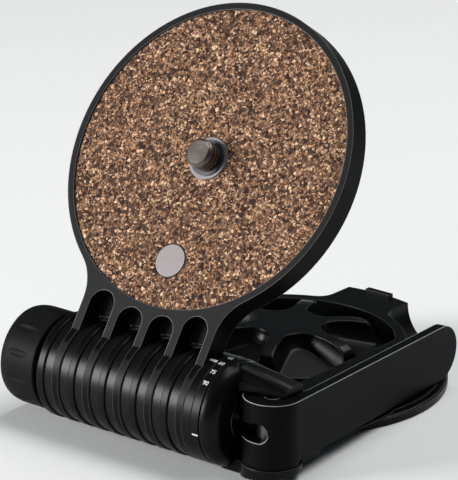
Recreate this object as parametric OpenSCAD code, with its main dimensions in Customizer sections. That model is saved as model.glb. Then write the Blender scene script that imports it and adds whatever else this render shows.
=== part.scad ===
/* [Hinge] */
// Distance from the tripod axis to the hinge axis
hinge_back = 72; // [68:0.5:80]
// Height of the hinge axis above the underside of the base
hinge_h = 17.4; // [16:0.1:20]
// Radius of the leaves that make up the barrel
barrel_r = 17.2; // [15:0.1:17.3]
// Thickness of one leaf, and of one finger of the top plate
leaf_t = 2.92; // [2.6:0.02:3.4]
// Distance between the middles of neighbouring leaves
leaf_pitch = 6.24; // [6:0.02:6.5]
// How far the friction discs stay inside the barrel surface
disc_step = 0.55; // [0.3:0.05:1.5]
// Free play between a leaf and the disc that it turns on
leaf_play = 0.1; // [0.05:0.01:0.15]
// Tilt of the top plate as drawn, 0 is folded flat
tilt = 57; // [0:1:90]

/* [Top plate] */
// Radius of the round plate
plate_r = 52.25; // [50:0.25:54]
// Distance from the hinge axis to the middle of the plate
plate_reach = 73; // [72:0.25:78]
// Height of the plate's underside over the hinge axis
plate_low = 6.5; // [6.3:0.1:7.5]
// Thickness of the plate
plate_t = 8; // [7:0.1:10]
// Radius of the cork pad
cork_r = 50; // [45:0.25:50.5]
// Thickness of the cork pad
cork_t = 2; // [1.5:0.1:3]
// How far the rim stands over the cork
rim_step = 0.6; // [0.2:0.1:1]
// Radius of the fillet where the outer fingers run into the disc
neck_fillet = 16; // [8:1:20]
// Thickness of the web under the slots between the fingers
slot_web = 2; // [1:0.1:3]

/* [Camera stud] */
// Radius of the 3/8 inch camera stud
stud_r = 4.76; // [3.17, 4.76]
// Length of the stud over the cork
stud_l = 7; // [5:0.5:9]
// Radius of the steel washer round the stud
stud_washer_r = 7; // [6:0.25:9]
// Radius of the round badge
badge_r = 5.35; // [4:0.05:6]
// Distance from the stud to the badge
badge_back = 34.55; // [28:0.25:40]

/* [Base] */
// Radius of the base plate
base_r = 52.8; // [51.5:0.1:56]
// Thickness of the base plate
base_t = 3; // [2.5:0.1:4]
// Radius of the body on the base plate
body_r = 50.4; // [49:0.1:51]
// Height of the deck that the star knob lies on
deck_h = 8.7; // [8:0.1:9.5]
// Height of the ring wall, the rear block and the right cheek
wall_h = 15.1; // [14:0.1:16]
// Inner radius of the ring wall round the star knob
pocket_r = 35; // [33.5:0.1:36]
// Outer radius of the ring wall
ring_r = 38.6; // [37.5:0.1:40]
// Half the width of the rear block
block_half = 12.3; // [8:0.1:16]
// Radius of the fillet between the block and the ring wall
block_fillet = 6; // [3:0.5:8]
// Radius of the hollow that the walls run out in, down to the edge of the body
cove_r = 10.1; // [8:0.1:11]
// Inner face of the right cheek, as a distance from the middle
cheek_in = 29.7; // [29.7:0.1:31]

/* [Star knob] */
// Radius of the star knob at its foot
star_r = 29.4; // [26:0.1:31]
// Height of the star knob's flat top
star_top = 19.4; // [18:0.1:20.5]
// Height of the floor of its scallops, at their inner end
star_floor = 13.3; // [12:0.1:15]
// Fall of that floor towards the rim, in degrees
star_fall = 14; // [0:1:15]
// Number of arms
star_arms = 6; // [5:1:7]
// Direction of the first arm
star_turn = -8; // [-30:1:30]
// Radius of a scallop's inner end
scallop_r = 7; // [6:0.1:7.4]
// Distance from the tripod axis to a scallop's inner end
scallop_out = 18.2; // [17.5:0.1:20]

/* [Lever] */
// Distance from the middle to the lever's pin, along the hinge
pin_out = 48.5; // [48:0.1:50]
// Radius of the lever's head
head_r = 9.3; // [8.5:0.1:9.5]
// Distance from the pin to the middle of the head
cam_throw = 0.8; // [0.4:0.1:1]
// Length of the lever from its pin
lever_l = 103.3; // [80:0.1:104]
// Thickness of the lever's arm
lever_t = 3.5; // [3:0.1:4]
// Angle between the closed lever and the base
lever_in = 6.7; // [6:0.1:8]
// Height of the underside of the lever's head
lever_low = 5.2; // [5:0.1:5.6]
// Height of the top of its head
lever_high = 26.5; // [25.5:0.1:26.5]
// How much the arm's top edge falls towards its end
lever_fall = 3.9; // [3.8:0.1:4.2]
// How much the arm's lower edge stands over the head's underside
arm_lift = 1.4; // [1:0.1:2]
// How much the arm's lower edge falls towards its end
arm_fall = 2.7; // [2:0.1:2.8]
// Length of the arm's rounded end
arm_round = 10.4; // [6:0.1:12]

/* [Clamp] */
// Radius of the clamp rod
rod_r = 4; // [3:0.1:4.5]
// Radius of the rod's eye round the lever pin
eye_r = 4.9; // [4.5:0.1:5]
// Height of the eye
eye_h = 6; // [5:0.1:7]
// Radius of the rod's neck beside the eye
neck_r = 2.5; // [2:0.1:2.8]
// How far the eye's middle lies under the hinge axis
eye_drop = 0.5; // [0:0.1:0.8]
// Radius of the lever pin
pin_r = 2.5; // [2:0.1:3]
// Radius of the tension knob
knob_r = 16.1; // [14:0.1:16.8]
// Length of the tension knob
knob_l = 14.5; // [12:0.1:18]
// Depth of the flutes in the tension knob
flute_deep = 0.4; // [0.2:0.05:0.6]
// Width of the gap between the tension knob and the stack
knob_gap = 2.4; // [2:0.1:4]

/* [Fits] */
// Radial play of a shaft in its bore
shaft_play = 0.08; // [0.03:0.01:0.1]
// Gap between pieces that move past each other
run_gap = 0.3; // [0.2:0.05:0.4]
// Radius of the minor diameter of the 3/8 inch female thread
thread_r = 4.05; // [3:0.05:4.2]
// Depth of the female thread
thread_l = 13; // [8:0.5:13.5]

/* [Hidden] */
$fn = 96;
eps = 0.01;
far = 200;

// The stack: leaves at odd places belong to the base, those at even places to the top plate
stack_end = 5;
base_leaves = [-5, -3, -1, 1, 3];
plate_leaves = [-4, -2, 0, 2, 4];
stack_left = -stack_end * leaf_pitch - leaf_t / 2;
stack_right = stack_end * leaf_pitch + leaf_t / 2;
disc_t = leaf_pitch - leaf_t - leaf_play;
disc_r = barrel_r - disc_step;
bore_r = rod_r + shaft_play;
finger_edge = 4 * leaf_pitch + leaf_t / 2;
swing_r = barrel_r + run_gap;

// Top plate levels over the hinge axis
plate_high = plate_low + plate_t;
cork_high = plate_high - rim_step;
cork_low = cork_high - cork_t;
finger_inset = 0.03;
slot_r = leaf_pitch - leaf_t / 2 + finger_inset;
finger_side = finger_edge - finger_inset;
badge_gap = 0.35;
shank_r = stud_r - 0.16;
stud_ring_t = 0.6;

// Base
foot_h = hinge_h - barrel_r + 0.1;
screw_out = (pocket_r + ring_r) / 2;
screw_head = 1.9;
leaf_edge = 0.25;
cove_inset = 0.06;
groove_w = 0.25;
cheek_left = stack_right + groove_w;
cheek_right = pin_out - cam_throw - head_r - run_gap;
cheek_round = 4.5;
sleeve_t = 2.5;
pad_r = 7.5;
pad_t = 3.2;
bush_r = 7;
snap_r = 10;
snap_low = 0.9;
snap_t = 0.8;
snap_groove = 0.7;
glide_t = 0.6;
star_low = deck_h + glide_t;
bush_top = star_top - 5;

// Lever
cam_away = 130;
cam_turn = cam_away - lever_in;
pad_face = pin_out + cam_throw * cos(cam_away) - head_r - run_gap;
tongue_low = lever_low - run_gap;
arm_low = lever_low + arm_lift - arm_fall;
tongue_high = lever_high + run_gap;
lever_face = cam_throw * cos(cam_turn) + head_r;
lever_side = lever_face - lever_t - 0.6;
slot_h = eye_h + 0.6;
slot_mid = hinge_h - eye_drop;
knob_right = stack_left - knob_gap;
knob_left = knob_right - knob_l;
insert_r = rod_r + 2.5;
flute_half = knob_l / 2 - 1.8;
spring_t = 2;
spring_r = 8;
screw_r = 2;
disc_seat_r = base_r - 1.2;

module at_hinge() {
    translate([0, -hinge_back, hinge_h]) children();
}

module at_pin() {
    translate([pin_out, -hinge_back, 0]) children();
}

module at_plate() {
    at_hinge() rotate([tilt, 0, 0]) translate([0, plate_reach, 0]) children();
}

// A round piece along the hinge, from x0 to x1
module along(x0, x1, r) {
    translate([x0, 0, 0]) rotate([0, 90, 0]) cylinder(h = x1 - x0, r = r);
}

// A flat ring
module ring(h, r_out, r_in) {
    difference() {
        cylinder(h = h, r = r_out);
        translate([0, 0, -1]) cylinder(h = h + 2, r = r_in);
    }
}

// A disc with bevelled edges
module bevel_disc(h, r, top, bottom) {
    rotate_extrude() polygon([[0, 0], [r - bottom, 0], [r, bottom], [r, h - top], [r - top, h], [0, h]]);
}

// Fillet between a wall at x = w and a circle of radius r, for y > 0
module wall_fillet(w, r, f) {
    c = [w + f, sqrt(pow(r + f, 2) - pow(w + f, 2))];
    difference() {
        polygon([[w, c.y], c, c * r / (r + f), [w - 2, c.y * r / (r + f) - 1]]);
        translate(c) circle(f);
    }
}

// Base plate: the bottom disc, with a bore for the bush
module base_plate() {
    color("#1b1b1d") difference() {
        bevel_disc(base_t, base_r, 0.5, 0.4);
        bush_bores();
        screw_places() {
            translate([0, 0, -1]) cylinder(h = far, r = screw_r + 0.1);
            translate([0, 0, -eps]) cylinder(h = screw_head, r1 = screw_r + 2.1, r2 = screw_r + 0.2);
        }
    }
}

module bush_bores() {
    translate([0, 0, -1]) cylinder(h = far, r = bush_r + shaft_play);
    translate([0, 0, -1]) cylinder(h = 1 + snap_low + snap_t + run_gap, r = snap_r + run_gap);
}

module screw_places() {
    for (a = [45, 135, 225, 315]) rotate([0, 0, a]) translate([screw_out, 0, 0]) children();
}

module base_screws() {
    color("#55565a") screw_places() difference() {
        union() {
            translate([0, 0, 0.15]) cylinder(h = screw_head - 0.15, r1 = screw_r + 1.9, r2 = screw_r + 0.05);
            cylinder(h = deck_h - 1.5, r = screw_r);
        }
        translate([0, 0, -eps]) cylinder(h = 1.2, r = 1.3, $fn = 6);
    }
}

// Plan of the deck in front of the pocket, up to the hinge
module front_plan() {
    translate([stack_left, -hinge_back]) square([cheek_right - stack_left, hinge_back]);
}

// Plan of the pocket: round behind, with a straight side along the cheek, and open in front
module pocket_plan() {
    intersection() {
        circle(pocket_r);
        translate([-far, -far]) square([far + cheek_in, 2 * far]);
    }
    translate([-cheek_in, -hinge_back]) square([2 * cheek_in, hinge_back - 10]);
}

// Plan of the straight walls in front: the cheek and the short wall on the left
module front_walls() {
    translate([cheek_in - 1, -hinge_back]) square([body_r - cheek_in + 1, hinge_back - 10]);
    translate([stack_left - 2, -hinge_back + 20]) square([6, hinge_back - 30]);
}

// Section of a wall whose outer side, at x = w, runs out in a hollow down to the edge
module cove_section(w, out) {
    difference() {
        translate([0, base_t]) square([out, wall_h - base_t]);
        translate([w + cove_r, wall_h]) circle(cove_r);
    }
}

module block_section() {
    out = block_half + cove_r;
    difference() {
        translate([-out, base_t]) square([2 * out, wall_h - base_t]);
        for (side = [-out, out]) translate([side, wall_h]) circle(cove_r);
    }
}

// Ring wall round the pocket, with its hollow down to the edge of the body
module ring_wall() {
    rotate_extrude() cove_section(ring_r, body_r);
}

// Rear block: straight sides with the same hollow, its rear face round
module rear_block() {
    intersection() {
        translate([0, 0, base_t]) cylinder(h = wall_h - base_t, r = disc_seat_r);
        translate([0, disc_seat_r + 1, 0]) rotate([90, 0, 0]) linear_extrude(disc_seat_r + 1) block_section();
    }
    for (m = [0, 1]) mirror([m, 0, 0]) cove_corner(block_half, ring_r, block_fillet);
}

// Corner between the block and the ring wall, hollowed by a bowl that narrows as the walls run out
module cove_corner(w, r, f) {
    c = [w + f, sqrt(pow(r + f, 2) - pow(w + f, 2))];
    last = acos(1 - (f - cove_inset) / cove_r);
    difference() {
        translate([0, 0, base_t]) linear_extrude(wall_h - base_t) polygon([[w - 1, c.y], c, c * r / (r + f), [w - 2, r - 3]]);
        translate(c) rotate_extrude() polygon(concat([[0, far], [f - cove_inset, far]],
            [for (i = [0:6]) [max(0, f - cove_inset - cove_r * (1 - cos(i * last / 6))), wall_h - cove_r * sin(i * last / 6)]]));
    }
}

// What the lever and the plate sweep beside the body
module body_clearance() {
    at_pin() rotate([0, 0, lever_in]) translate([lever_side, -far, arm_low - run_gap]) cube([far, 2 * far, far]);
    at_pin() translate([0, 0, -1]) cylinder(h = far, r = head_r + cam_throw + run_gap);
}

module body_mass() {
    difference() {
        union() {
            difference() {
                union() {
                    ring_wall();
                    rear_block();
                    translate([0, 0, base_t]) linear_extrude(wall_h - base_t) front_walls();
                }
                translate([0, 0, deck_h]) linear_extrude(far) pocket_plan();
            }
            translate([0, 0, base_t]) linear_extrude(deck_h - base_t) front_plan();
            translate([0, 0, foot_h]) linear_extrude(base_t) difference() {
                front_plan();
                circle(base_r + 0.1);
            }
        }
        body_clearance();
        at_hinge() along(-far, far, swing_r);
    }
}

// Web that joins a leaf to the body behind it
module leaf_web(x0, x1) {
    difference() {
        translate([x0, -hinge_back, foot_h]) cube([x1 - x0, swing_r + 3, deck_h - foot_h]);
        plate_seat();
    }
}

// A leaf of the barrel, its edges broken
module leaf(x) {
    at_hinge() translate([x - leaf_t / 2, 0, 0]) rotate([0, 90, 0])
        bevel_disc(leaf_t, barrel_r, leaf_edge, leaf_edge);
}

module base_leaf(place) {
    x = place * leaf_pitch;
    leaf(x);
    leaf_web(x - leaf_t / 2, x + leaf_t / 2);
}

// Right cheek: the end of the barrel, its edge rounded over to the pocket of the lever
module cheek_barrel() {
    w = cheek_right - cheek_left;
    at_hinge() translate([cheek_left, 0, 0]) rotate([0, 90, 0]) rotate_extrude()
        polygon(concat([[0, -groove_w], [barrel_r - 1.2, -groove_w], [barrel_r - 1.2, 0],
            [barrel_r - 0.3, 0], [barrel_r, 0.3]],
            [for (a = [0:10:90]) [barrel_r - cheek_round + cheek_round * cos(a),
                w - cheek_round + cheek_round * sin(a)]], [[0, w]]));
    leaf_web(cheek_left, cheek_right);
}

// Upper tongue over the lever's head, drawn out from the barrel to a thin tip
module upper_tongue() {
    root = 37;
    tip = pin_out + 4.8;
    low = tongue_high - hinge_h;
    at_hinge() hull() {
        translate([root - 3, 0, 0]) rotate([90, 0, 90]) linear_extrude(3)
            polygon([[-4.1, low], [-3.8, barrel_r - 4.6], [-3, barrel_r - 2.4], [-1.8, barrel_r - 1],
                [0.2, barrel_r - 0.3], [3, barrel_r - 0.5], [6, barrel_r - 1.4], [11, barrel_r - 4.6], [12, low]]);
        translate([tip - 1, 0, 0]) rotate([90, 0, 90]) linear_extrude(1)
            polygon([[0.3, low], [0.4, low + 0.9], [1.1, low + 2], [2.4, low + 2.7], [4, low + 2.9],
                [8.2, low + 2.8], [9, low + 2.1], [9, low]]);
    }
}

// Lower tongue under the lever's head, its underside bevelled towards the tip
module lower_tongue() {
    foot_r = head_r + 0.3;
    difference() {
        at_pin() translate([0, 0, foot_h]) linear_extrude(tongue_low - foot_h) {
            translate([-0.5, 0.6]) circle(foot_r);
            translate([cheek_left - pin_out, -5]) square([pin_out - cheek_left, 25]);
            translate([-1, 0.6]) square([5, 19.4]);
        }
        at_pin() translate([-8, -far, -6.6]) rotate([0, -7, 0]) cube([far, 2 * far, 7]);
        plate_seat();
    }
}

module plate_seat() {
    translate([0, 0, -1]) cylinder(h = base_t + 1, r = base_r + 0.01);
}

// Base body: deck, walls, rear block, hinge leaves and the right cheek with its tongues
module base_body() {
    color("#202123") difference() {
        union() {
            body_mass();
            for (place = base_leaves) base_leaf(place);
            cheek_barrel();
            upper_tongue();
            lower_tongue();
        }
        at_hinge() along(-far, far, bore_r);
        at_hinge() along(-far, stack_left + leaf_t, bore_r + sleeve_t);
        at_hinge() along(stack_right, far, bore_r + sleeve_t);
        at_hinge() along(cheek_right - pad_t, far, pad_r);
        bush_bores();
        screw_places() cylinder(h = deck_h - 1.2, r = screw_r);
        rear_tab_seat();
    }
}

module rear_tab_seat() {
    translate([-5, base_r - 3.4, wall_h - 1.2]) cube([10, 4, 3]);
}

module rear_tab() {
    color("#2b2c2f") translate([-4.95, base_r - 3.35, wall_h - 1.2]) cube([9.9, 2.1, 2.4]);
}

// Friction discs between the leaves, all but the last one, each on a leaf of the base
module friction_discs() {
    color("#101011") at_hinge() for (place = base_leaves) {
        x = place * leaf_pitch;
        if (place > -stack_end) bored(x - leaf_t / 2 - disc_t, x - leaf_t / 2, disc_r);
        bored(x + leaf_t / 2, x + leaf_t / 2 + disc_t, disc_r);
    }
}

// A ring along the hinge with a bore for the clamp rod
module bored(x0, x1, r) {
    difference() {
        along(x0, x1, r);
        along(x0 - 1, x1 + 1, bore_r);
    }
}

// Index ring: lies on the last finger of the plate and turns with it
module index_ring() {
    color("#1d1d1f") at_hinge() bored(finger_edge, finger_edge + disc_t, barrel_r);
}

module scale_ring() {
    color("#1d1d1f") at_hinge() bored(stack_right - leaf_t, stack_right, barrel_r);
}

module rod_bushes() {
    color("#a08050") at_hinge() {
        bored(stack_left, stack_left + leaf_t, bore_r + sleeve_t);
        bored(stack_right, cheek_right - pad_t, bore_r + sleeve_t);
    }
}

module pressure_pad() {
    color("#6b6c70") at_hinge() bored(cheek_right - pad_t, pad_face, pad_r);
}

module thrust_washer() {
    color("#3a3b3e") at_hinge() bored(knob_right, stack_left, knob_r - 2);
}

module glide_washer() {
    color("#77787c") translate([0, 0, deck_h]) ring(glide_t, 20, bush_r + run_gap);
}

// Bush with the female 3/8 inch thread, pressed into the star knob
module thread_bush() {
    color("#8d8f94") difference() {
        cylinder(h = bush_top, r = bush_r);
        translate([0, 0, -1]) cylinder(h = thread_l + 1, r = thread_r);
        translate([0, 0, snap_low]) ring(snap_t, bush_r + 1, bush_r - snap_groove);
    }
}

module retaining_ring() {
    color("#5a5b5f") translate([0, 0, snap_low]) ring(snap_t, snap_r, bush_r - snap_groove);
}

// Star knob: a low dome with scallops cut between its arms
module star_knob() {
    cone_l = 24;
    color("#232426") difference() {
        rotate_extrude() polygon(concat([[0, star_low], [star_r, star_low], [star_r - 0.6, star_floor + 1]],
            [for (t = [0:0.2:1]) [star_r - 1.1 - 14 * t * t - 1.4 * t, star_top - 3.6 * pow(1 - t, 2)]],
            [[0, star_top]]));
        for (i = [0:star_arms - 1]) rotate([0, 0, star_turn + (i + 0.5) * 360 / star_arms])
            intersection() {
                translate([scallop_out, 0, star_floor]) rotate([0, star_fall, 0])
                    translate([-scallop_r - 5, -far, 0]) cube([far, 2 * far, far]);
                translate([scallop_out, 0, star_top]) rotate([0, 90, 0]) rotate_extrude() polygon(concat(
                    [for (a = [0:15:60]) scallop_r * [sin(a), -cos(a)]],
                    [[cone_l * sin(30) + scallop_r * sin(60), cone_l * cos(30) - scallop_r * cos(60)],
                        [0, cone_l * cos(30) - scallop_r * cos(60)]]));
            }
        translate([0, 0, -1]) cylinder(h = bush_top + 1, r = bush_r + eps);
    }
}

// Outline of the top plate with its neck and fingers, seen square on
module plate_outline() {
    circle(plate_r);
    difference() {
        union() {
            translate([-finger_side, -plate_reach]) square([2 * finger_side, plate_reach]);
            rotate(180) wall_fillet(finger_side, plate_r, neck_fillet);
            rotate(180) mirror([1, 0]) wall_fillet(finger_side, plate_r, neck_fillet);
        }
        for (x = [-3, -1, 1, 3]) translate([x * leaf_pitch, 0]) finger_slot(x * leaf_pitch);
    }
}

// Slot between two fingers, its round end just short of the disc
module finger_slot(x) {
    end = -sqrt(pow(plate_r + slot_r + 0.1, 2) - x * x);
    translate([0, end]) circle(slot_r);
    translate([-slot_r, end - far]) square([2 * slot_r, far]);
}

// Web that closes the slots under the neck, its edge clear of the leaves of the base
module web_plan() {
    out = sqrt(pow(swing_r, 2) - pow(plate_low, 2)) - plate_reach;
    translate([1 - finger_side, out]) square([2 * finger_side - 2, 8 - plate_r - out]);
}

module top_plate() {
    color("#1a1a1c") difference() {
        union() {
            at_plate() translate([0, 0, plate_low]) linear_extrude(plate_t) plate_outline();
            at_plate() translate([0, 0, plate_low]) linear_extrude(slot_web) web_plan();
            for (x = plate_leaves * leaf_pitch) leaf(x);
        }
        at_hinge() along(-far, far, bore_r);
        at_plate() translate([0, 0, cork_low]) cylinder(h = far, r = cork_r + eps);
        at_plate() translate([0, 0, -1]) cylinder(h = far, r = shank_r + shaft_play);
        at_plate() translate([0, 0, plate_low - 1]) cylinder(h = 3.2, r = stud_washer_r + 0.5);
    }
}

module cork_pad() {
    color("#8a5f3c") at_plate() translate([0, 0, cork_low]) difference() {
        cylinder(h = cork_t, r = cork_r - 0.05);
        translate([0, 0, -1]) cylinder(h = far, r = stud_washer_r + 0.1);
        translate([0, -badge_back, -1]) cylinder(h = far, r = badge_r + badge_gap);
    }
}

module camera_stud() {
    top = cork_high + stud_l;
    foot = plate_low + 2.2;
    free = plate_high + stud_ring_t;
    color("#77736f") at_plate() rotate_extrude() polygon([[0, foot - 1.9], [stud_washer_r, foot - 1.9],
        [stud_washer_r, foot], [shank_r, foot], [shank_r, free], [stud_r, free], [stud_r, top - 1],
        [stud_r - 1, top], [0, top]]);
}

module stud_washer() {
    color("#a9a5a0") at_plate() translate([0, 0, cork_low]) ring(cork_t + rim_step, stud_washer_r, shank_r + shaft_play);
}

module stud_ring() {
    color("#5a5b5f") at_plate() translate([0, 0, plate_high]) ring(stud_ring_t, stud_r + 1.2, shank_r + shaft_play);
}

module badge_disc() {
    color("#b9b2ad") at_plate() translate([0, -badge_back, cork_low]) cylinder(h = cork_t + 0.15, r = badge_r);
}

module clamp_rod() {
    color("#9b9da1") at_hinge() difference() {
        union() {
            along(knob_left + 3.2, cheek_right - 1, rod_r);
            along(cheek_right - 2, pin_out, neck_r);
            translate([pin_out, 0, -eye_drop - eye_h / 2]) cylinder(h = eye_h, r = eye_r);
        }
        translate([pin_out, 0, -far / 2]) cylinder(h = far, r = pin_r + shaft_play);
    }
}

// Side view of the lever: head, arm that falls towards its end, and the end itself, rounded over
module lever_side_view() {
    top = lever_high - lever_fall;
    mid = (top + arm_low) / 2;
    half = (top - arm_low) / 2;
    polygon(concat([[-20, lever_low], [1.5, lever_low], [2.5, lever_low + arm_lift]],
        [for (a = [-90:10:90]) [lever_l - arm_round + arm_round * cos(a), mid + half * sin(a)]],
        [[0, lever_high], [-20, lever_high]]));
}

module lever_plan() {
    c = cam_throw * [cos(cam_turn), sin(cam_turn)];
    inner = lever_face - lever_t;
    translate(c) circle(head_r);
    translate([inner, c.y]) square([lever_t, lever_l]);
    difference() {
        translate([0, c.y]) square([inner + 1, head_r + 3]);
        translate([inner - 4, c.y + head_r + 2.6]) circle(4);
        translate([inner - 4 - 10, c.y + head_r + 2.6 - 4 + 0.5]) square([10, 10]);
    }
}

module cam_lever() {
    color("#1c1c1e") at_pin() rotate([0, 0, lever_in]) difference() {
        intersection() {
            linear_extrude(far) lever_plan();
            rotate([90, 0, 90]) translate([0, 0, -far / 2]) linear_extrude(far) lever_side_view();
        }
        translate([0, 0, slot_mid]) eye_slot();
        translate([0, 0, -1]) cylinder(h = far, r = pin_r);
    }
}

// Slot in the lever's head with a round end, and in it a round pocket for the rod's eye
module eye_slot() {
    end = neck_r + 2 * run_gap - slot_h / 2;
    translate([0, 9, 0]) rotate([90, 0, 0]) linear_extrude(far) {
        translate([end, 0]) circle(slot_h / 2);
        translate([end - 30, -slot_h / 2]) square([30, slot_h]);
    }
    translate([0, 0, -slot_h / 2]) cylinder(h = slot_h, r = eye_r + run_gap);
}

module lever_pin() {
    color("#9b9da1") at_pin() translate([0, 0, lever_low + 0.5])
        cylinder(h = lever_high - lever_low - 1, r = pin_r);
}

module eye_washers() {
    t = (slot_h - eye_h) / 2;
    color("#c0a060") at_pin() for (z = [eye_h / 2, -eye_h / 2 - t])
        translate([0, 0, slot_mid + z]) ring(t, eye_r - 0.6, pin_r + shaft_play);
}

// Tension knob: round, with its outer edge rounded over and long shallow flutes, hollowed like a boat
module tension_knob() {
    flute_r = 2.4;
    flute_out = knob_r + flute_r - flute_deep;
    color("#161617") at_hinge() difference() {
        translate([knob_right, 0, 0]) rotate([0, -90, 0]) rotate_extrude() polygon(concat(
            [[0, 0], [knob_r - 0.4, 0], [knob_r, 0.4], [knob_r, knob_l - 5]],
            [for (a = [10:10:90]) [knob_r - 1.6 + 1.6 * cos(a), knob_l - 5 + 5 * sin(a)]], [[0, knob_l]]));
        along(knob_right - 4 * spring_t, far, spring_r);
        along(knob_left + 2.9, far, insert_r);
        for (i = [0:11]) rotate([i * 30 + 10, 0, 0]) translate([knob_left + knob_l / 2, 0, flute_out])
            rotate([0, 90, 0]) rotate_extrude() polygon(concat([[0, -flute_half]],
                [for (t = [-1:0.2:1]) [flute_r - flute_deep * t * t * 1.3, flute_half * t]], [[0, flute_half]]));
    }
}

module knob_insert() {
    color("#b08d4f") at_hinge() bored(knob_left + 2.9, knob_right - 4 * spring_t, insert_r);
}

module spring_washers() {
    color("#88898d") at_hinge() difference() {
        for (i = [1:4]) translate([knob_right - i * spring_t, 0, 0]) rotate([0, 90, 0])
            bevel_disc(spring_t, spring_r - 0.2, 0.5, 0.5);
        along(-far, far, bore_r);
    }
}

base_plate();
base_body();
rear_tab();
base_screws();
friction_discs();
scale_ring();
rod_bushes();
thrust_washer();
pressure_pad();
glide_washer();
retaining_ring();
star_knob();
thread_bush();
top_plate();
index_ring();
cork_pad();
camera_stud();
stud_washer();
stud_ring();
badge_disc();
clamp_rod();
cam_lever();
lever_pin();
eye_washers();
tension_knob();
knob_insert();
spring_washers();
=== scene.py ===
"""Tilt platform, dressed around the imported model: one section for each piece, from the base up."""
import math

import bpy
import numpy as np
from mathutils import Matrix


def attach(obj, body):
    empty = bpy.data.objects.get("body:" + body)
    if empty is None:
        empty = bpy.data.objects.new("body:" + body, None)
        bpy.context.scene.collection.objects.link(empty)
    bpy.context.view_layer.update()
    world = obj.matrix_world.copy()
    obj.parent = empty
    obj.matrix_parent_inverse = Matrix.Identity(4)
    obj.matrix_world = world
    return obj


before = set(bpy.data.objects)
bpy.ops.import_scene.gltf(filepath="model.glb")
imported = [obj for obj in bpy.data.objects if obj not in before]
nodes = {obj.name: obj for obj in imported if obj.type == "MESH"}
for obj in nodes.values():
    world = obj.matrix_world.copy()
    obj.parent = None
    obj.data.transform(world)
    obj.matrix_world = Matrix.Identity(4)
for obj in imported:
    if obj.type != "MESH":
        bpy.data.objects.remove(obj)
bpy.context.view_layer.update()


# Base plate. A flat disc of aluminium that lies on the tripod or the table, turned on a lathe,
# bead blasted and anodised black. Four countersunk screws hold it under the body.
class Value:
    """One output in a finish. Arithmetic on values is written out, and each step adds a Math node."""

    def __init__(self, finish, socket):
        self.finish = finish
        self.socket = socket

    def math(self, operation, *others):
        return self.finish.node("Math", {"operation": operation}, dict(enumerate((self,) + others)))

    def clipped(self):
        """Held between 0 and 1."""
        return self.math("MAXIMUM", 0.0).math("MINIMUM", 1.0)

    def __add__(self, other):
        return self.math("ADD", other)

    def __sub__(self, other):
        return self.math("SUBTRACT", other)

    def __mul__(self, other):
        return self.math("MULTIPLY", other)

    def __truediv__(self, other):
        return self.math("DIVIDE", other)

    def __rsub__(self, other):
        return self.math("MULTIPLY", -1.0) + other

    __radd__ = __add__
    __rmul__ = __mul__


class Finish:
    """A procedural material round one Principled shader."""

    def __init__(self, name, **sockets):
        self.material = bpy.data.materials.new(name)
        self.material.use_nodes = True
        self.tree = self.material.node_tree
        self.shader = self.tree.nodes["Principled BSDF"]
        self.place = self.node("TexCoord", {}, {}, "Object")
        self.set(sockets)

    def node(self, kind, settings, sockets, output=0):
        """Adds a node: first its settings or a ramp's stops, then the values or links of its sockets."""
        made = self.tree.nodes.new("ShaderNode" + kind)
        for key, value in settings.items():
            if key == "stops":
                ramp = made.color_ramp
                while len(ramp.elements) < len(value):
                    ramp.elements.new(0.5)
                for element, (at, colour) in zip(ramp.elements, value):
                    element.position = at
                    element.color = (*colour, 1.0)
            else:
                setattr(made, key, value)
        for key, value in sockets.items():
            self.plug(made.inputs[key], value)
        return Value(self, made.outputs[output])

    def plug(self, socket, value):
        if isinstance(value, Value):
            self.tree.links.new(value.socket, socket)
        elif isinstance(value, tuple) and len(value) == 3 and socket.type == "RGBA":
            socket.default_value = (*value, 1.0)
        else:
            socket.default_value = value

    def set(self, sockets):
        for key, value in sockets.items():
            self.plug(self.shader.inputs[key.replace("_", " ")], value)

    def noise(self, scale, detail=2.0):
        """Soft noise between 0 and 1, with features of about 1 / scale metres."""
        return self.node("TexNoise", {}, {"Vector": self.place, "Scale": scale, "Detail": detail}, "Fac")

    def mix(self, share, low, high):
        """Goes from one colour to another as share goes from 0 to 1."""
        return self.node("Mix", {"data_type": "RGBA"}, {0: share, 6: low, 7: high}, 2)

    def ramp(self, share, stops):
        return self.node("ValToRGB", {"stops": stops}, {"Fac": share}, "Color")

    def rounding(self, radius):
        """The normal, rounded over at edges as by a small chamfer."""
        return self.node("Bevel", {"samples": 8}, {"Radius": radius})

    def edge(self, radius):
        """The rounded normal and a mask that is 1 on an outer edge.

        The mask grows as the rounded normal leaves the face's own, and fades where the corner is an inner
        one, which shows as a shaded place close by.
        """
        rounded = self.rounding(radius)
        true = self.node("NewGeometry", {}, {}, "True Normal")
        along = self.node("VectorMath", {"operation": "DOT_PRODUCT"}, {0: rounded, 1: true}, "Value")
        shade = {"samples": 4, "only_local": True}
        free = self.node("AmbientOcclusion", shade, {"Distance": radius * 4.0}, "AO")
        outer = ((free - 0.78) * 6.0).clipped()
        return rounded, ((1.0 - along) * 4.0).clipped() * outer

    def bump(self, height, depth, normal=None, strength=1.0):
        sockets = {"Height": height, "Distance": depth, "Strength": strength}
        if normal:
            sockets["Normal"] = normal
        return self.node("Bump", {}, sockets)


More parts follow.
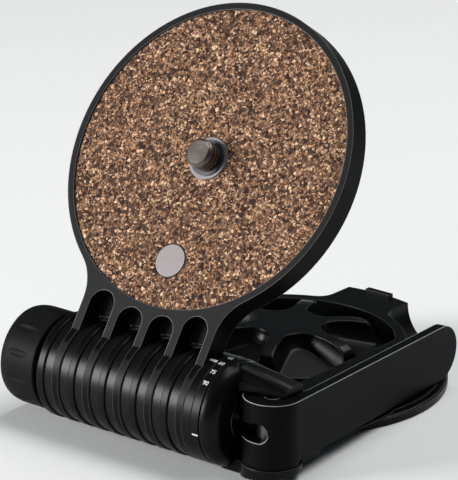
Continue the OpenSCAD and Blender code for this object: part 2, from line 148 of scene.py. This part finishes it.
def anodised(name, tone=0.003, shine=0.33, gloss=0.11, chamfer=0.0004, wear_and_highlight=0.05, highlight_upper_edges=True, flat=None):
    """Aluminium, bead blasted and anodised black: very fine grain, soft clouds in its gloss, paler edges.

    Edges are paler for bare metal and wear, and on the upper edges also as a painted highlight, in step with
    the height part of the rounded normal.
    Faces that look along the axis flat, in the piece's own frame, get a paler black: a painted sheen.
    """
    finish = Finish(name, Metallic=0.0, Specular_IOR_Level=gloss)
    cloud = finish.noise(45, 3.0)
    grain = finish.noise(5200, 1.0)
    rounded, edge = finish.edge(chamfer)
    tint = cloud * 0.5 + grain * 0.5
    deep, light = tone * 0.7, tone * 1.3
    face = finish.mix(tint, (deep, deep, tone * 0.74), (light, light, tone * 1.34))
    # Only edges whose rounded normal points upward keep the pale paint: a painted highlight where light falls.
    if highlight_upper_edges:
        height = finish.node("SeparateXYZ", {}, {"Vector": rounded}, "Z")
        edge = edge * (height * 2.0).clipped()
    # Faces that look along the given axis are painted a paler black: a painted sheen for the light they catch.
    if flat:
        axis, paler = flat
        own = finish.node("TexCoord", {}, {}, "Normal")
        along = finish.node("VectorMath", {"operation": "DOT_PRODUCT"}, {0: own, 1: axis}, "Value")
        face = finish.mix(((along - 0.96) * 40.0).clipped(), face, (paler, paler, paler * 1.03))
    finish.set(
        {
            # Face tone, with pale paint on the edges for wear and as a painted edge highlight.
            "Base Color": finish.mix(edge, face, (wear_and_highlight, wear_and_highlight, wear_and_highlight * 1.02)),
            "Roughness": cloud * 0.12 + (shine - 0.06),
            "Normal": finish.bump(grain, 0.00001, rounded, 0.5),
        }
    )
    return finish.material


def dress(material, *names):
    for name in names:
        nodes[name].data.materials.clear()
        nodes[name].data.materials.append(material)


# The disc's upper edges are painted pale: wear, and a painted highlight along the lit top edge.
dress(anodised("disc_anodised", wear_and_highlight=0.45, chamfer=0.00045), "base_plate")


# Body of the base. Milled from one block of aluminium: deck, ring wall round the knob's pocket, rear
# block, hinge leaves and the cheek with its two tongues, blasted and anodised with the rest.
dress(anodised("body_anodised", 0.003, 0.30, 0.12, 0.0007, 0.06), "base_body")
black = anodised("black_anodised")
dress(black, "rear_tab")


# Screws, bush and washers of the base. Turned steel, plain or phosphated, and a glide washer of white
# nylon that the star knob turns on.
def turned(name, colour, shine=0.3, metal=1.0):
    """Turned metal: a fine grain and soft clouds in its gloss, and edges broken by a small chamfer."""
    finish = Finish(name, Metallic=metal)
    grain = finish.noise(1800, 3.0)
    cloud = finish.noise(120, 2.0)
    rounded = finish.rounding(0.0002)
    low = tuple(0.78 * c for c in colour)
    high = tuple(min(1.15 * c, 1.0) for c in colour)
    finish.set(
        {
            "Base Color": finish.mix(cloud * 0.6 + grain * 0.4, low, high),
            "Roughness": grain * 0.16 + (shine - 0.08),
            "Normal": finish.bump(grain, 0.00001, rounded, 0.4),
        }
    )
    return finish.material


def moulded(name, colour, shine=0.5, gloss=0.3, blend=0.25):
    """Plastic or fibre board: a soft mottle in its colour and a faint uneven surface."""
    finish = Finish(name, Metallic=0.0, Specular_IOR_Level=gloss)
    mottle = finish.noise(380, 4.0)
    fine = finish.noise(2600, 2.0)
    rounded = finish.rounding(0.0003)
    low = tuple((1.0 - blend) * c for c in colour)
    high = tuple(min((1.0 + blend) * c, 1.0) for c in colour)
    finish.set(
        {
            "Base Color": finish.mix(mottle, low, high),
            "Roughness": fine * 0.14 + (shine - 0.07),
            "Normal": finish.bump(fine, 0.00002, rounded, 0.4),
        }
    )
    return finish.material


steel = turned("turned_steel", (0.42, 0.42, 0.43))
dress(steel, "base_screws", "thread_bush")
dress(turned("phosphated_steel", (0.09, 0.09, 0.095), 0.45), "retaining_ring", "stud_ring")
dress(moulded("white_nylon", (0.55, 0.55, 0.52)), "glide_washer")


# Friction discs. Dark fibre discs between the leaves, ground flat and a little smaller than the leaves,
# and a smaller washer of the same board under the tension knob.
dress(moulded("friction_board", (0.0045, 0.0045, 0.0045), 0.30, 0.15), "friction_discs")
dress(moulded("washer_board", (0.004, 0.004, 0.004), 0.5, 0.15), "thrust_washer")


# Scale ring. A black anodised ring on the last leaf of the base, with the degrees of tilt engraved and
# filled with white paint, and a white mark low down in front.
dress(black, "scale_ring")
barrel = 0.0172
hinge_y, hinge_z = -0.072, 0.0174
full_scale, scale_step = 90, 15
scale_x, figure_size, scale_zero = 0.0313, 0.0021, 137.0


def round_barrel(flat, x, turn, proud=0.00003):
    """Points laid on the barrel: across stays along the hinge from x, up becomes arc length over the radius
    from the angle turn, which counts from the front upwards, and depth adds to the radius."""
    angle = math.radians(turn) + flat[:, 1] / barrel
    out = barrel + proud + flat[:, 2]
    return np.stack([x + flat[:, 0], hinge_y - out * np.cos(angle), hinge_z + out * np.sin(angle)], axis=1)


def painted(name):
    """White paint rubbed into an engraving: chalky, thinner in places."""
    finish = Finish(name, Roughness=0.6, Specular_IOR_Level=0.3)
    thin = finish.noise(3000, 2.0)
    finish.set(
        {
            "Base Color": finish.mix(thin, (0.42, 0.42, 0.42), (0.86, 0.86, 0.85)),
            "Normal": finish.bump(thin, 0.00001),
        }
    )
    return finish.material


white_paint = painted("white_paint")


def add_piece(name, mesh, body):
    piece = bpy.data.objects.new(name, mesh)
    bpy.context.scene.collection.objects.link(piece)
    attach(piece, body)


def digits(name, words, size, x, turn, body):
    """The words in plain figures, made a thin mesh and laid round the barrel."""
    curve = bpy.data.curves.new(name, "FONT")
    curve.body = words
    curve.size = size
    curve.extrude = 0.00002
    curve.offset = 0.00004
    curve.resolution_u = 4
    curve.align_x, curve.align_y = "CENTER", "CENTER"
    typed = bpy.data.objects.new(name + "_type", curve)
    bpy.context.scene.collection.objects.link(typed)
    ready = typed.evaluated_get(bpy.context.evaluated_depsgraph_get())
    mesh = bpy.data.meshes.new_from_object(ready)
    bpy.data.objects.remove(typed)
    flat = np.empty(3 * len(mesh.vertices))
    mesh.vertices.foreach_get("co", flat)
    mesh.vertices.foreach_set("co", round_barrel(flat.reshape(-1, 3), x, turn).ravel())
    mesh.materials.clear()
    mesh.materials.append(white_paint)
    add_piece(name, mesh, body)


def strip(name, left, right, low, high, body, steps=6):
    """A thin bar on the barrel from left to right along the hinge and from low to high in degrees: a closed
    section of four corners carried round the barrel, with both ends capped."""
    turn = np.linspace(low, high, steps)
    corners = np.array([(left, 0.0), (right, 0.0), (right, 0.00005), (left, 0.00005)])
    flat = np.zeros((steps, 4, 3))
    flat[:, :, 0] = corners[:, 0]
    flat[:, :, 1] = (np.radians(turn) * barrel)[:, None]
    flat[:, :, 2] = corners[:, 1]
    points = round_barrel(flat.reshape(-1, 3), 0.0, 0.0, 0.00001)
    row = np.arange(steps - 1)[:, None] * 4
    side = np.arange(4)[None, :]
    after = (side + 1) % 4
    faces = np.stack([row + side, row + 4 + side, row + 4 + after, row + after], axis=2).reshape(-1, 4)
    caps = np.array([[0, 1, 2, 3], np.array([3, 2, 1, 0]) + 4 * (steps - 1)])
    mesh = bpy.data.meshes.new(name)
    mesh.from_pydata(points.tolist(), [], np.concatenate([faces, caps]).tolist())
    mesh.materials.append(white_paint)
    add_piece(name, mesh, body)


for degrees in range(0, full_scale + 1, scale_step):
    digits(f"scale_{degrees:02d}", str(degrees), figure_size, scale_x, scale_zero - degrees, "base")
strip("scale_mark", 0.0304, 0.0326, -10.6, -8.8, "base")


# Index ring. The same ring on the last finger of the plate, so it turns with it; a short white bar
# beside the scale shows the tilt.
dress(black, "index_ring")
strip("index_line", 0.02648, 0.0293, 76.4, 80.2, "plate")


# Star knob. Cast aluminium with six arms and scooped finger grips, machined on top, blasted and
# anodised; its edges are softly rounded.
dress(anodised("star_anodised", 0.003, 0.30, 0.16, 0.0011, 0.012), "star_knob")


# Top plate. A round plate milled in one piece with its neck and five hinge fingers, blasted and
# anodised; the flat of its face, which stands at the tilt of the photograph, is painted a paler black: a
# painted sheen.
tilt = math.radians(57.0)
plate_reach = 0.073
plate_axis = (0.0, -math.sin(tilt), math.cos(tilt))
# The face gets a painted sheen, and all its edges pale paint for wear and as a painted highlight.
plate_black = anodised("plate_anodised", 0.0035, 0.36, 0.07, 0.0004, 0.28, False, (plate_axis, 0.017))
dress(plate_black, "top_plate")


# Cork pad. Pressed granulated cork: grains of about a millimetre in every brown between tan and nearly
# black, glued and sanded flat, with darker glue and small pits between the grains.
def granulated_cork(name):
    """Grains are cells of two sizes, bent by noise; each has one brown, and the glue between them is dark."""
    finish = Finish(name, Roughness=0.9, Specular_IOR_Level=0.08)
    bend = finish.node("TexNoise", {}, {"Vector": finish.place, "Scale": 1500.0, "Detail": 3.0}, "Color")
    small = finish.node("VectorMath", {"operation": "SCALE"}, {0: bend, "Scale": 0.0009}, "Vector")
    place = finish.node("VectorMath", {"operation": "ADD"}, {0: finish.place, 1: small}, "Vector")

    def grains(scale):
        cell = finish.node("TexVoronoi", {"feature": "F1"}, {"Vector": place, "Scale": scale}, "Color")
        to_edge = {"feature": "DISTANCE_TO_EDGE"}
        edge = finish.node("TexVoronoi", to_edge, {"Vector": place, "Scale": scale}, "Distance")
        return finish.node("SeparateColor", {}, {"Color": cell}, "Red"), edge

    coarse, coarse_edge = grains(900.0)
    fine, fine_edge = grains(1500.0)
    choice = ((finish.noise(420, 2.0) - 0.5) * 14.0 + 0.5).clipped()
    kind = coarse * (1.0 - choice) + fine * choice
    gap = ((coarse_edge * (1.0 - choice) + fine_edge * choice) * 7.0).clipped()
    speck = finish.noise(3600, 2.0)
    browns = finish.ramp(
        kind * 0.86 + speck * 0.22 - 0.04,
        [
            (0.10, (0.028, 0.019, 0.016)),
            (0.30, (0.100, 0.057, 0.038)),
            (0.50, (0.240, 0.128, 0.074)),
            (0.72, (0.460, 0.252, 0.142)),
            (0.92, (0.800, 0.540, 0.350)),
        ],
    )
    finish.set(
        {
            "Base Color": finish.mix(gap, (0.030, 0.018, 0.015), browns),
            "Normal": finish.bump(gap * 0.7 + speck * 0.3, 0.00016, None, 0.7),
        }
    )
    return finish.material


dress(granulated_cork("granulated_cork"), "cork_pad")


# Camera stud and its washer. A 3/8 inch stud turned from steel and browned, with its thread rolled on and
# the rings of the facing tool on its end; the washer is plain satin steel.
def threaded(name, colour, centre, lean, pitch, core):
    """Dark steel with a thread. Height along the stud plus the turn about it, over the pitch, gives a ridge
    that climbs once a turn; inside the core radius rings take its place."""
    finish = Finish(name, Metallic=1.0)
    axis = (0.0, -math.sin(lean), math.cos(lean))
    side = (0.0, math.cos(lean), math.sin(lean))
    moved = finish.node("VectorMath", {"operation": "SUBTRACT"}, {0: finish.place, 1: centre}, "Vector")
    along = finish.node("VectorMath", {"operation": "DOT_PRODUCT"}, {0: moved, 1: axis}, "Value")
    v = finish.node("VectorMath", {"operation": "DOT_PRODUCT"}, {0: moved, 1: side}, "Value")
    u = finish.node("SeparateXYZ", {}, {"Vector": moved}, "X")
    turn = v.math("ARCTAN2", u) / (2 * math.pi)
    radius = (u * u + v * v).math("SQRT")
    ridge = ((along / pitch + turn).math("FRACT") - 0.5).math("ABSOLUTE") * 2.0
    rings = (radius * 9000.0).math("SINE") * 0.5 + 0.5
    outside = ((radius - core) * 6000.0).clipped()
    rounded = finish.rounding(0.00025)
    height = ridge * outside + rings * (1.0 - outside) * 0.10
    grain = finish.noise(1500, 3.0)
    low, high = tuple(0.7 * c for c in colour), tuple(1.2 * c for c in colour)
    finish.set(
        {
            # The colour is paler on the thread's crests and darker in its roots.
            "Base Color": finish.mix(grain * 0.5 + ridge * outside * 0.5, low, high),
            "Roughness": grain * 0.12 + 0.30,
            "Normal": finish.bump(height, 0.00022, rounded, 1.0),
        }
    )
    return finish.material


plate_middle = (0.0, hinge_y + plate_reach * math.cos(tilt), hinge_z + plate_reach * math.sin(tilt))
pitch, core = 0.0015875, 0.00425
dress(threaded("browned_steel", (0.15, 0.13, 0.12), plate_middle, tilt, pitch, core), "camera_stud")
dress(turned("satin_steel", (0.24, 0.225, 0.23), 0.5, 0.5), "stud_washer")


# Badge. A small blank disc of satin steel let into the cork; a near-black bead sits in the gap round
# it as painted shade.
dress(turned("badge_steel", (0.235, 0.213, 0.213), 0.50, 0.5), "badge_disc")
badge_back, shade_top, shade_depth = 0.03455, 0.01372, 0.0008


def glue_ring(name, inner, outer, low, high, around=64, across=9):
    """A closed bead carried round a circle: its section is an oval between the two radii and the two heights,
    as cosine and sine of the second parameter, set on the plate's plane by its tilt."""
    u = np.linspace(0.0, 2 * math.pi, around, endpoint=False)[:, None]
    v = np.linspace(0.0, 2 * math.pi, across, endpoint=False)[None, :]
    radius = (inner + outer) / 2 + (outer - inner) / 2 * np.cos(v)
    rise = (low + high) / 2 + (high - low) / 2 * np.sin(v) + 0 * u
    x, y = radius * np.cos(u), radius * np.sin(u) + plate_reach - badge_back
    back = hinge_y + y * math.cos(tilt) - rise * math.sin(tilt)
    height = hinge_z + y * math.sin(tilt) + rise * math.cos(tilt)
    points = np.stack([x, back, height], axis=2)
    row, side = np.meshgrid(np.arange(around), np.arange(across), indexing="ij")
    after_row, after_side = (row + 1) % around, (side + 1) % across
    here, there = row * across, after_row * across
    faces = np.stack([here + side, there + side, there + after_side, here + after_side], axis=2).reshape(-1, 4)
    mesh = bpy.data.meshes.new(name)
    mesh.from_pydata(points.reshape(-1, 3).tolist(), [], faces.tolist())
    mesh.shade_smooth()
    # The bead is near black: painted shade in the gap round the badge.
    mesh.materials.append(moulded("gap_shade_black", (0.004, 0.004, 0.004), 0.4))
    add_piece(name, mesh, "plate")


glue_ring("badge_gap_shade", 0.00537, 0.00568, shade_top - shade_depth, shade_top)


# Clamp rod, lever pin and bushes. The rod and the pin are ground steel, the pad under the cam is hardened,
# and the bushes, the eye's washers and the knob's insert are brass.
dress(turned("black_oxide_steel", (0.12, 0.12, 0.125), 0.3), "clamp_rod", "pressure_pad")
dress(steel, "lever_pin", "spring_washers")
dress(turned("brass", (0.55, 0.40, 0.18)), "rod_bushes", "eye_washers", "knob_insert")


# Cam lever. A flat arm with a round cam head, milled, anodised black, then chamfered along its outer
# edges, where the metal shows paler; on the upper edges the pale paint is also a painted highlight.
dress(anodised("lever_anodised", 0.004, 0.38, 0.045, 0.00055, 0.8), "cam_lever")


# Tension knob. Turned aluminium with a row of shallow flutes, anodised to a duller black.
dress(anodised("knob_anodised", 0.008, 0.5, 0.06, 0.0004, 0.02), "tension_knob")


# Studio. A pale floor that runs on behind the object, a soft light overhead and a softbox in front on
# the left, and the camera where the photograph was taken from, far off with a long lens.
floor_paint = Finish("pale_floor", Base_Color=(0.90, 0.90, 0.90), Roughness=0.9, Specular_IOR_Level=0.1)
floor_mesh = bpy.data.meshes.new("floor")
floor_mesh.from_pydata([(-6, -6, 0), (6, -6, 0), (6, 12, 0), (-6, 12, 0)], [], [(0, 1, 2, 3)])
floor_mesh.materials.append(floor_paint.material)
floor = bpy.data.objects.new("floor", floor_mesh)
bpy.context.scene.collection.objects.link(floor)


def softbox(name, place, aim, size, power):
    lamp = bpy.data.lights.new(name, "AREA")
    lamp.shape = "RECTANGLE"
    lamp.size, lamp.size_y = size
    lamp.energy = power
    holder = bpy.data.objects.new(name, lamp)
    place = np.array(place, float)
    back = place - np.array(aim, float)
    back /= np.linalg.norm(back)
    side = np.cross((0.0, 0.0, 1.0) if abs(back[2]) < 0.98 else (0.0, 1.0, 0.0), back)
    side /= np.linalg.norm(side)
    matrix = np.eye(4)
    matrix[:3, 0], matrix[:3, 1], matrix[:3, 2], matrix[:3, 3] = side, np.cross(back, side), back, place
    holder.matrix_world = Matrix(matrix)
    bpy.context.scene.collection.objects.link(holder)


middle = (0.0, -0.03, 0.05)
softbox("back_softbox", (0.20, 0.48, 1.15), middle, (1.1, 0.8), 13.0)
softbox("key_softbox", (-0.70, -0.93, 0.30), middle, (0.62, 0.42), 18.0)

world = bpy.data.worlds.new("studio")
world.use_nodes = True
world.node_tree.nodes["Background"].inputs["Color"].default_value = (0.9, 0.95, 1.0, 1.0)
world.node_tree.nodes["Background"].inputs["Strength"].default_value = 0.07
bpy.context.scene.world = world

focal_pixels, sensor_mm, picture_pixels = 4292.7605, 36.0, 480
turn, rise, roll = math.radians(37.643138), math.radians(19.042503), math.radians(1.103319)
right = np.array([math.cos(turn), math.sin(turn), 0.0])
back = np.array([math.sin(turn) * math.cos(rise), -math.cos(turn) * math.cos(rise), math.sin(rise)])
up = np.cross(back, right)
right, up = right * math.cos(roll) + up * math.sin(roll), up * math.cos(roll) - right * math.sin(roll)
stand = np.eye(4)
stand[:3, 0], stand[:3, 1], stand[:3, 2] = right, up, back
stand[:3, 3] = (0.7907033, -1.0579227, 0.5031048)
camera = bpy.data.objects.new("camera", bpy.data.cameras.new("camera"))
camera.matrix_world = Matrix(stand)
camera.data.sensor_width = sensor_mm
camera.data.lens = focal_pixels * sensor_mm / picture_pixels
camera.data.clip_end = 100.0
bpy.context.scene.collection.objects.link(camera)
bpy.context.scene.camera = camera
bpy.context.scene.view_settings.view_transform = "Standard"
